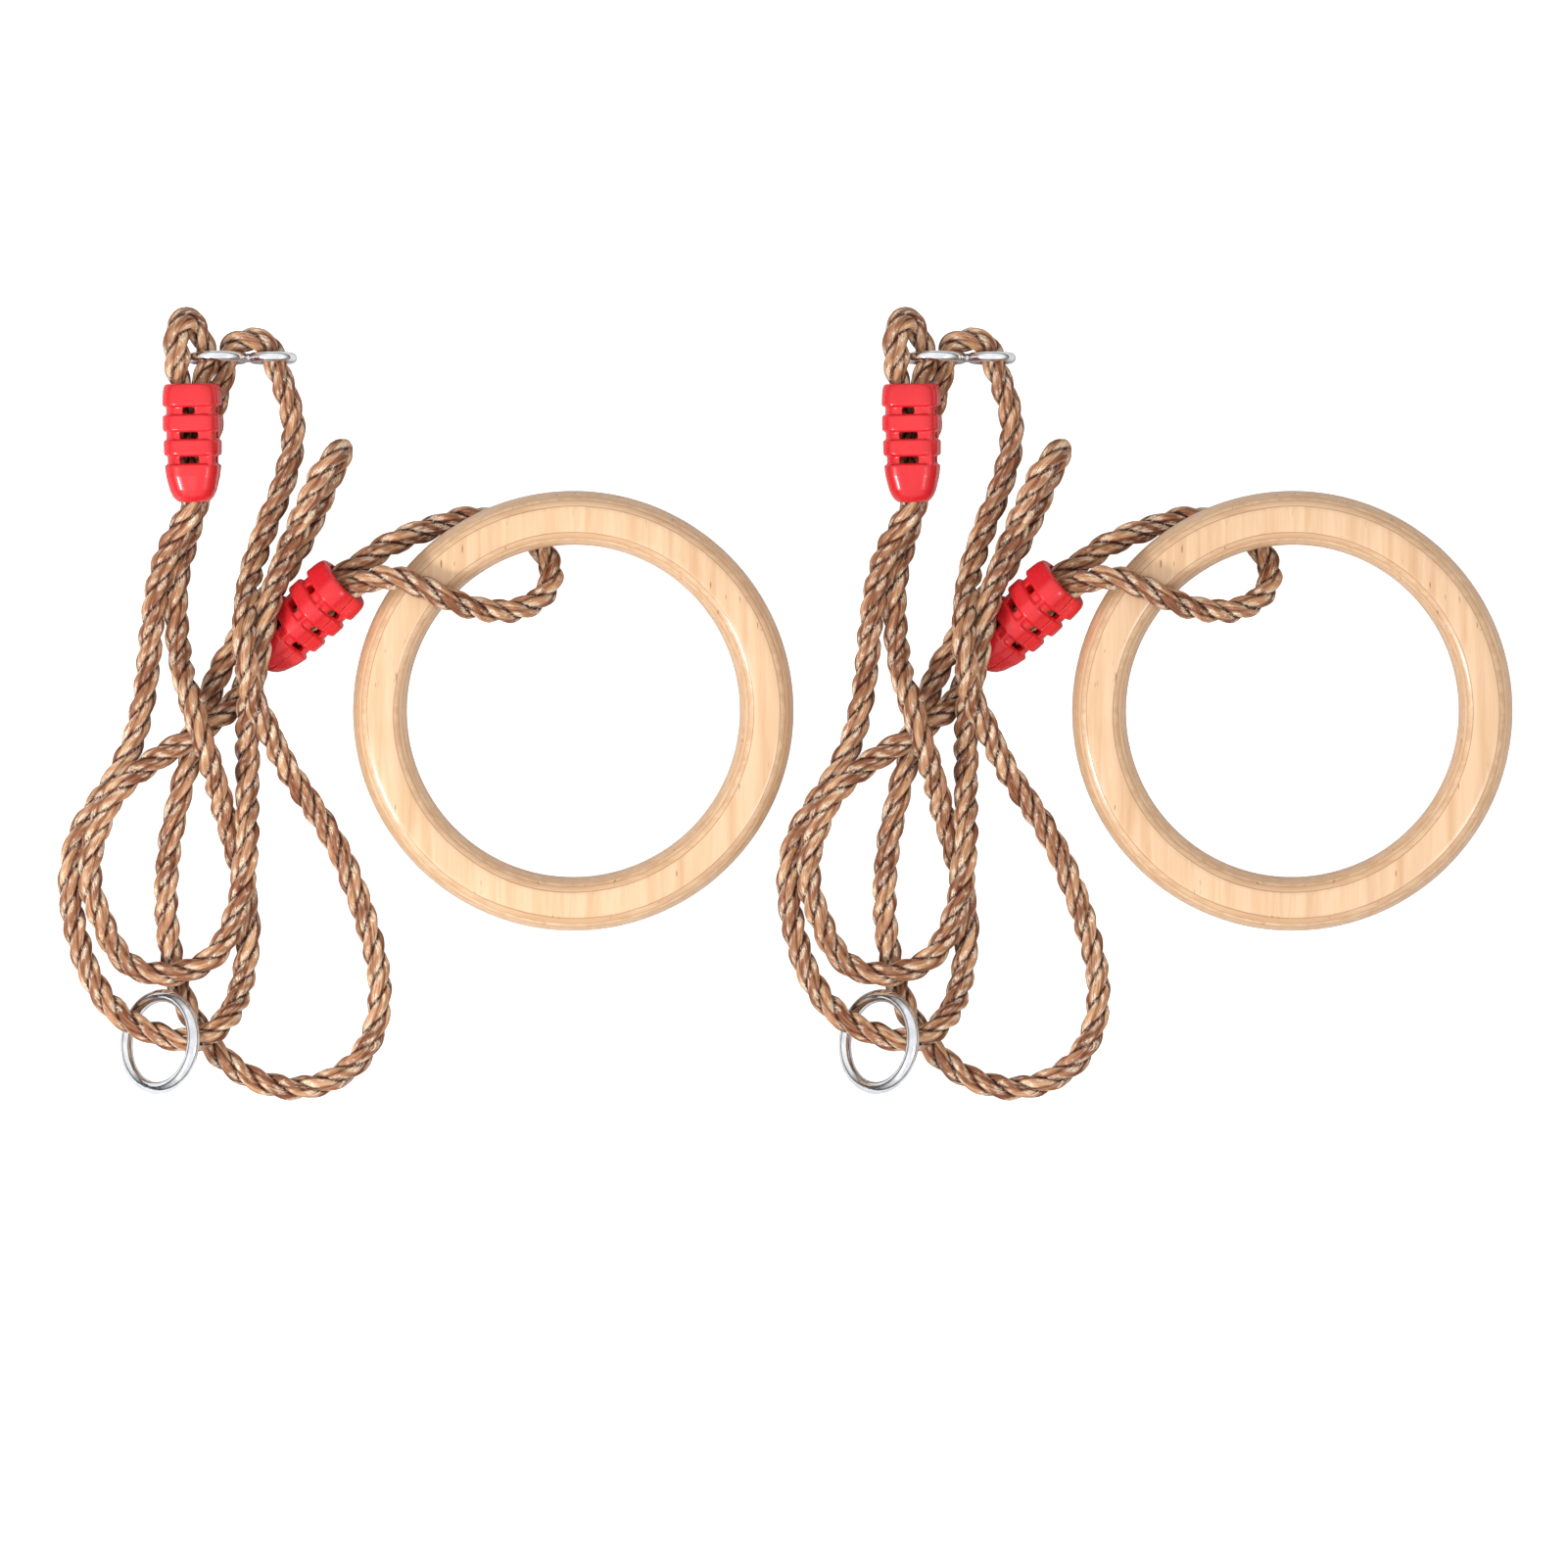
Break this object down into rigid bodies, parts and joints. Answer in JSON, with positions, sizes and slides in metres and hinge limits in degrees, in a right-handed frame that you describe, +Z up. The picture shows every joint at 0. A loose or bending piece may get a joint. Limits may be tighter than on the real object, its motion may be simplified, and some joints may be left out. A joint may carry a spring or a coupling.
{
  "type": "gymnastics rings",
  "caption": "Pair of wooden gymnastics rings on adjustable ropes with steel hanging rings and plastic rope clamps, laid out flat.",
  "frame": {"origin": "on the floor, midway between the two wooden rings", "axes": "+X from the left set to the right set, +Y towards the adjuster end of the ropes, +Z up from the floor"},
  "size_m": [0.5946, 0.3224, 0.0417],
  "materials": {
    "plywood": "satin varnish over light veneer, with darker ply edges",
    "rope": "three-strand twisted rope, light brown, slight sheen",
    "red_plastic": "bright gloss red",
    "steel": "bright zinc plate"
  },
  "bodies": {
    "left_rope_set": {"left_ring_eye_rope": "rope", "left_lower_rope": "rope", "left_upper_rope": "rope", "left_adjuster_eye_rope": "rope", "left_ring_clamp_upper_shell": "red_plastic", "left_ring_clamp_lower_shell": "red_plastic", "left_adjuster_clamp_upper_shell": "red_plastic", "left_adjuster_clamp_lower_shell": "red_plastic"},
    "left_wooden_ring": {"left_wooden_ring": "plywood"},
    "left_adjuster": {"left_length_adjuster": "steel"},
    "left_hanging_ring": {"left_hanging_ring": "steel"},
    "right_rope_set": {"right_ring_eye_rope": "rope", "right_lower_rope": "rope", "right_upper_rope": "rope", "right_adjuster_eye_rope": "rope", "right_ring_clamp_upper_shell": "red_plastic", "right_ring_clamp_lower_shell": "red_plastic", "right_adjuster_clamp_upper_shell": "red_plastic", "right_adjuster_clamp_lower_shell": "red_plastic"},
    "right_wooden_ring": {"right_wooden_ring": "plywood"},
    "right_adjuster": {"right_length_adjuster": "steel"},
    "right_hanging_ring": {"right_hanging_ring": "steel"}
  },
  "joints": [
    {"name": "left_ring_turn", "type": "hinge", "parent": "left_rope_set", "child": "left_wooden_ring", "pos_m": [-0.14715, 0, 0.01628], "axis": [0.0216, -0.0593, 0.998], "continuous": true},
    {"name": "left_hanging_ring_lift", "type": "hinge", "parent": "left_rope_set", "child": "left_hanging_ring", "pos_m": [-0.33, -0.13353, 0.0026], "axis": [-0.1357, -0.9907, 0], "range_deg": [0, 12]},
    {"name": "left_adjuster_lean", "type": "hinge", "parent": "left_rope_set", "child": "left_adjuster", "pos_m": [-0.28025, 0.1435, 0.0021], "axis": [-1, 0, 0], "range_deg": [-2.5, 2.5]},
    {"name": "right_set_lift", "type": "slide", "parent": "left_rope_set", "child": "right_rope_set", "axis": [0, 0, 1], "range_m": [0, 0.05]},
    {"name": "right_ring_turn", "type": "hinge", "parent": "right_rope_set", "child": "right_wooden_ring", "pos_m": [0.14715, 0, 0.01628], "axis": [0.0216, -0.0593, 0.998], "continuous": true},
    {"name": "right_hanging_ring_lift", "type": "hinge", "parent": "right_rope_set", "child": "right_hanging_ring", "pos_m": [-0.03571, -0.13353, 0.0026], "axis": [-0.1357, -0.9907, 0], "range_deg": [0, 12]},
    {"name": "right_adjuster_lean", "type": "hinge", "parent": "right_rope_set", "child": "right_adjuster", "pos_m": [0.01405, 0.1435, 0.0021], "axis": [-1, 0, 0], "range_deg": [-2.5, 2.5]}
  ]
}
